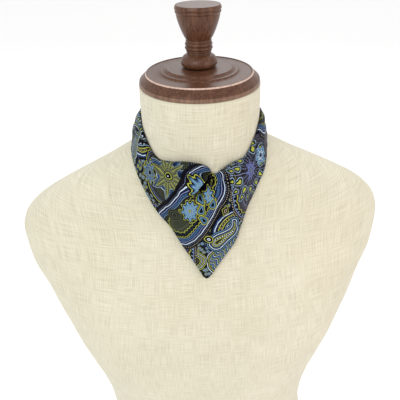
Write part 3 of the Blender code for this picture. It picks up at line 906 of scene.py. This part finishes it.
def paint_great_boteh(p):
    """The great boteh of the front, edged with ropes and filled with blue flowers."""
    x, y = p.about(-32.0, 122.0, 40.0)
    depth, way = drop_shape(x, y, 21.0, 20.0, 50.0, -4.0)
    p.rings(
        depth,
        [
            (-5.8, INK), (-0.6, PEARL), (0.1, NAVY), (1.8, LILAC), (2.3, NAVY), (3.2, BLUE),
            (5.0, NAVY), (5.7, MIST), (6.1, INK), (9.0, INK),
        ],
    )
    p.lay(BEIGE, dots(depth, way, -3.9, 1.8, 0.42) * (x > 0.0))
    p.lay(LILAC, dots(depth, way, -1.9, 1.5, 0.3))
    p.lay(SKY, dots(depth, way, 4.1, 2.2, 0.42))
    inner_x, inner_y = p.about(-32.0, 120.0, 40.0)
    inner, inner_way = drop_shape(inner_x, inner_y, 10.0, 9.0, 42.0, -3.0)
    p.lay(OLIVE, (depth > 7.0) * (x < 0.0))
    p.lay(SKY, seeds(depth, way, 2.1, 0.26) * (depth > 9.2))
    p.lay(OLIVE, inner > 0.0)
    p.lay(KHAKI, seeds(inner, inner_way, 1.8, 0.42) * (inner > 0.6))
    p.lay(KHAKI, squiggle(inner, inner_way, 3.2, 3.6, 1.2, 0.5))
    p.lay(LIME, squiggle(inner, inner_way, -0.4, 4.6, 1.5, 0.65))
    p.lay(LIME, squiggle(depth, way, 7.0, 4.2, 1.2, 0.7) * (x > 0.0))
    # A dark heart of ink over the crevice below the notch: partly the print's dark zone, partly painted
    # shade of the deep crevice
    ink_heart_and_crevice_shade = length(*p.about(-1.0, 80.0, 60.0))
    p.lay(INK, ink_heart_and_crevice_shade < 10.0)
    p.lay(LIME, (ink_heart_and_crevice_shade - p.down.scallops(4.4, 1.8)).near(8.6, 0.35))
    p.lay(BEIGE, seeds(p.across, p.down, 2.4, 0.4) * (ink_heart_and_crevice_shade > 5.0) * (ink_heart_and_crevice_shade < 8.0))
    rows = [
        (-2.4, INK), (-1.5, LIME), (-0.9, INK), (-0.2, BLUE), (0.4, SKY), (3.6, BLUE),
        (4.2, SKY), (9.0, SKY),
    ]
    for across, down, petals, radius, turn, tall in (
        (-15.5, 76.5, 7, 6.2, 0.2, 1.25),
        (-18.5, 101.5, 9, 8.6, 0.5, 1.35),
        (2.0, 88.5, 8, 6.8, 1.1, 1.2),
    ):
        x, y = p.about(across, down)
        bloom = flower(p, x, y * (1 / tall), petals, radius, rows, 0.34, 1.3, turn)
        veins(p, *bloom, petals * 2, 0.5, MIST)
        p.lay(LIME, bloom[1] < 1.2)
        p.lay(INK, bloom[1] < 0.6)
    rosette = length(*p.about(-34.5, 109.0))
    p.lay(INK, rosette < 7.5)
    p.lay(KHAKI, rosette.wrapped(2.2).near(0.0, 0.3) * (rosette < 7.2))
    for across, down, turn in (
        (-8.0, 103.0, 10.0), (-8.5, 91.0, 150.0), (-5.0, 113.0, -40.0), (4.0, 99.0, 30.0),
    ):
        drop, _ = drop_shape(*p.about(across, down, turn), 2.5, 0.6, 5.2)
        p.rings(drop, [(-1.6, LIME), (-1.0, INK), (-0.3, SKY), (0.9, INK), (3.0, INK)])


def silk_material():
    made, tree, shader = new_material("printed_silk")
    place_on, across, down = cloth_place(tree)
    color = silk_print(tree, place_on)
    thread = texture(tree, "Noise", stretched(tree, place_on, (2200, 700, 1)), Scale=1.0, Detail=2.0)
    slub = Field(tree, thread.outputs[0])
    tint = ramp(tree, slub.socket, [(0.25, (0.80, 0.80, 0.82)), (0.75, (1.12, 1.12, 1.10))])
    tree.links.new(blend(tree, color, tint, 1.0, "MULTIPLY"), shader.inputs["Base Color"])
    twill = (across + down).sine(0.00075) * 0.5 + 0.5
    tree.links.new((slub * 0.22 + 0.30).socket, shader.inputs["Roughness"])
    tree.links.new(bump(tree, (twill + slub).socket, 0.00005), shader.inputs["Normal"])
    shader.inputs["Specular IOR Level"].default_value = 0.05
    return made


def linen_material():
    """Ivory linen, whose threads thicken here and there."""
    made, tree, shader = new_material("ivory_linen")
    place_on, across, down = cloth_place(tree)
    upright = texture(tree, "Noise", stretched(tree, place_on, (1100, 40, 1)), Scale=1.0, Detail=3.0)
    level = texture(tree, "Noise", stretched(tree, place_on, (40, 1100, 1)), Scale=1.0, Detail=3.0)
    patch = texture(tree, "Noise", stretched(tree, place_on, (14, 14, 1)), Scale=1.0, Detail=2.0)
    slubs = Field(tree, upright.outputs[0]).times_plus(0.5, Field(tree, level.outputs[0]) * 0.5)
    color = ramp(
        tree, slubs.socket,
        [(0.36, (0.50, 0.47, 0.36)), (0.50, (0.60, 0.58, 0.455)), (0.64, (0.67, 0.65, 0.53))],
    )
    stain = ramp(tree, patch.outputs[0], [(0.3, (0.95, 0.94, 0.90)), (0.7, (1.02, 1.01, 1.0))])
    tree.links.new(blend(tree, color, stain, 1.0, "MULTIPLY"), shader.inputs["Base Color"])
    weave = across.sine(0.0011) * down.sine(0.0011)
    tree.links.new(bump(tree, (weave * 0.3 + slubs).socket, 0.00025), shader.inputs["Normal"])
    shader.inputs["Roughness"].default_value = 0.85
    shader.inputs["Sheen Weight"].default_value = 0.15
    return made


# Radius of the cap's ring, which is painted lighter as a highlight
PAINTED_HIGHLIGHT_RING = 0.0542         # radius of the ring on the cap


def wood_material():
    """Brown turned hardwood under a dull lacquer, with a painted highlight on its ring and a painted
    reflection on its low edge.
    """
    made, tree, shader = new_material("turned_hardwood")
    here = tree.nodes.new("ShaderNodeTexCoord").outputs["Object"]
    streaks = stretched(tree, here, (420, 420, 16))
    grain = texture(tree, "Noise", streaks, Scale=1.0, Detail=4.0, Distortion=0.3)
    pores = texture(tree, "Noise", stretched(tree, here, (900, 900, 60)), Scale=1.0, Detail=2.0)
    color = ramp(
        tree, grain.outputs[0],
        [(0.30, (0.055, 0.020, 0.009)), (0.50, (0.088, 0.036, 0.018)), (0.70, (0.125, 0.056, 0.030))],
    )
    color = blend(tree, color, (0.020, 0.008, 0.004), (Field(tree, pores.outputs[0]) - 0.56) * 3.0)
    x, y, z = separated(tree, here)
    across = length(x, y)
    ring = across.near(PAINTED_HIGHLIGHT_RING, 0.0005)
    low_edge_reflection = (z < NECK_TOP + 0.0042) * (across > PAINTED_HIGHLIGHT_RING)
    uneven = Field(tree, grain.outputs[0])
    # Painted highlight: the ring on the cap is painted lighter
    color = blend(tree, color, (0.62, 0.46, 0.38), ring * (uneven + 0.3))
    # Painted reflection: the cap's low edge is painted lighter, as if it mirrored the linen below it
    color = blend(tree, color, (0.30, 0.19, 0.13), low_edge_reflection * uneven * 0.8)
    tree.links.new(color, shader.inputs["Base Color"])
    tree.links.new((uneven * 0.2 + 0.26).socket, shader.inputs["Roughness"])
    tree.links.new(bump(tree, pores.outputs[0], 0.00008), shader.inputs["Normal"])
    shader.inputs["Specular IOR Level"].default_value = 0.22
    shader.inputs["Coat Weight"].default_value = 0.10
    shader.inputs["Coat Roughness"].default_value = 0.30
    return made


# The scene ------------------------------------------------------------------------------

CAMERA_AT = -0.0030, -0.4358, NECK_TOP + 0.1450     # before it is turned round the neck
CAMERA_TURN = -3.5                             # degrees round the neck, towards -X
CAMERA_PITCH, CAMERA_ROLL = 33.61, -1.60       # degrees down, and round the line of sight
CAMERA_LENS = 38.97
FLOOR_REACH = 40.0         # metres to each side
STRETCHES = (
    ("cravat_right", "stretch_right", RIGHT_SEAM, RIGHT_NAPE),
    ("cravat_nape", "nape", RIGHT_NAPE, 360 + LEFT_NAPE),
    ("cravat_left", "stretch_left", 360 + LEFT_NAPE, 360 + LEFT_SEAM),
)


def fall_print(angle, down):
    return print_place(fall_base, FALL, angle, down)


def band_print(angle, down):
    """The neckband's print, which runs on from the fall's at both seams."""
    flat = print_place(band_base, BAND, angle, down)
    if angle.min() > 360 + LEFT_NAPE:
        flat[..., 0] -= smooth(BAND, "front_radius", angle) * 2 * math.pi * MM
    return flat


def build_cloth(silk):
    half_seam = math.degrees(SEAM * SLANT / 2 / (INNER * MM))
    rows = down_rows()
    angles = np.linspace(LEFT_SEAM + half_seam, RIGHT_SEAM - half_seam, FALL_LINES)
    fall = cloth_piece("cravat_fall", fall_points, fall_print, angles, rows, silk, ["fall"])
    for name, node, start, end in STRETCHES:
        angles = np.linspace(start + half_seam, end - half_seam, STRETCH_LINES)
        piece = cloth_piece(name, band_points, band_print, angles, rows, silk, [node])
    angles = np.linspace(*UNDER_BLADE_ENDS, UNDER_BLADE_LINES)
    rows = np.linspace(*UNDER_BLADE_REACH, UNDER_BLADE_ROWS)
    under = cloth_piece(
        "cravat_under_blade", under_blade_points, fall_print, angles, rows, silk, ["under_blade"]
    )


def build_stage():
    finish, tree, shader = new_material("pale_floor")
    shader.inputs["Base Color"].default_value = (0.96, 0.96, 0.96, 1)
    shader.inputs["Roughness"].default_value = 0.9
    mesh = bpy.data.meshes.new("floor")
    corners = [(x * FLOOR_REACH, y * FLOOR_REACH, 0) for x, y in ((-1, -1), (1, -1), (1, 1), (-1, 1))]
    mesh.from_pydata(corners, [], [(0, 1, 2, 3)])
    mesh.materials.append(finish)
    floor = bpy.data.objects.new("floor", mesh)
    bpy.context.scene.collection.objects.link(floor)


def area_light(name, place_at, aim_at, size, watts, color):
    data = bpy.data.lights.new(name, "AREA")
    data.shape = "DISK"
    data.size, data.energy, data.color = size, watts, color
    made = bpy.data.objects.new(name, data)
    made.location = place_at
    made.rotation_euler = (Vector(aim_at) - made.location).to_track_quat("-Z", "Y").to_euler()
    bpy.context.scene.collection.objects.link(made)


def build_light():
    neck = 0, 0, NECK_TOP
    area_light("key", (-1.1, -1.6, NECK_TOP + 1.3), neck, 1.2, 18, (1.0, 0.985, 0.96))
    area_light("fill", (1.6, -1.2, NECK_TOP + 0.6), neck, 1.4, 11, (1.0, 0.76, 0.70))
    area_light("back", (0.3, 1.6, NECK_TOP + 1.2), neck, 1.4, 8, (0.96, 0.98, 1.0))
    world = bpy.data.worlds.new("studio")
    world.use_nodes = True
    world.node_tree.nodes["Background"].inputs["Color"].default_value = (1, 1, 1, 1)
    world.node_tree.nodes["Background"].inputs["Strength"].default_value = 1.0
    bpy.context.scene.world = world
    bpy.context.scene.view_settings.view_transform = "Standard"


def build_camera():
    data = bpy.data.cameras.new("camera")
    data.sensor_width, data.lens = 36, CAMERA_LENS
    data.clip_start = 0.05
    made = bpy.data.objects.new("camera", data)
    pitch = Matrix.Rotation(math.radians(90 - CAMERA_PITCH), 4, "X")
    roll = Matrix.Rotation(math.radians(CAMERA_ROLL), 4, "Z")
    turn = Matrix.Rotation(math.radians(CAMERA_TURN), 4, "Z")
    made.matrix_world = turn @ Matrix.Translation(CAMERA_AT) @ pitch @ roll
    bpy.context.scene.collection.objects.link(made)
    bpy.context.scene.camera = made


def main():
    build_camera()
    build_form(linen_material())
    wood = wood_material()
    build_turned("wooden_cap", CAP, wood, "cap")
    build_turned("wooden_finial", FINIAL, wood, "finial")
    build_cloth(silk_material())
    build_stage()
    build_light()


main()
